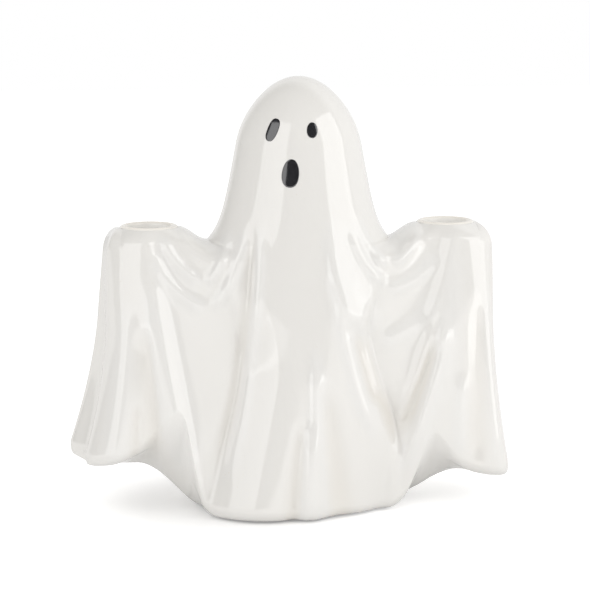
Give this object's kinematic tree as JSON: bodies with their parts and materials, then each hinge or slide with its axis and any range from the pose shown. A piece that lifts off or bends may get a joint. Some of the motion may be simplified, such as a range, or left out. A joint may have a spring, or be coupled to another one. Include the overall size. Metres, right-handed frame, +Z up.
{
  "type": "ghost candle holder",
  "caption": "Hollow glazed ceramic ghost under a draped sheet, with a candle socket in the top of each outstretched hand and dark inlaid eyes and mouth.",
  "frame": {"origin": "on the table, under the middle of the figure's bounding box", "axes": "+Z up, along both candle axes; +X along the arms, to the right as the figure is seen from the front; +Y towards its back, so its face looks along -Y"},
  "size_m": [0.2237, 0.0951, 0.22],
  "materials": {
    "white_glaze": "glossy warm white glaze over earthenware",
    "socket_glaze": "glossy warm white glaze, a little thinner at the rim",
    "black_glaze": "glossy black glaze",
    "foot_rubber": "matt translucent white rubber"
  },
  "bodies": {
    "root": {"ghost_body": "white_glaze", "left_candle_cup": "socket_glaze", "right_candle_cup": "socket_glaze", "left_eye": "black_glaze", "right_eye": "black_glaze", "mouth": "black_glaze", "front_left_foot_pad": "foot_rubber", "front_right_foot_pad": "foot_rubber", "back_left_foot_pad": "foot_rubber", "back_right_foot_pad": "foot_rubber"}
  },
  "joints": []
}
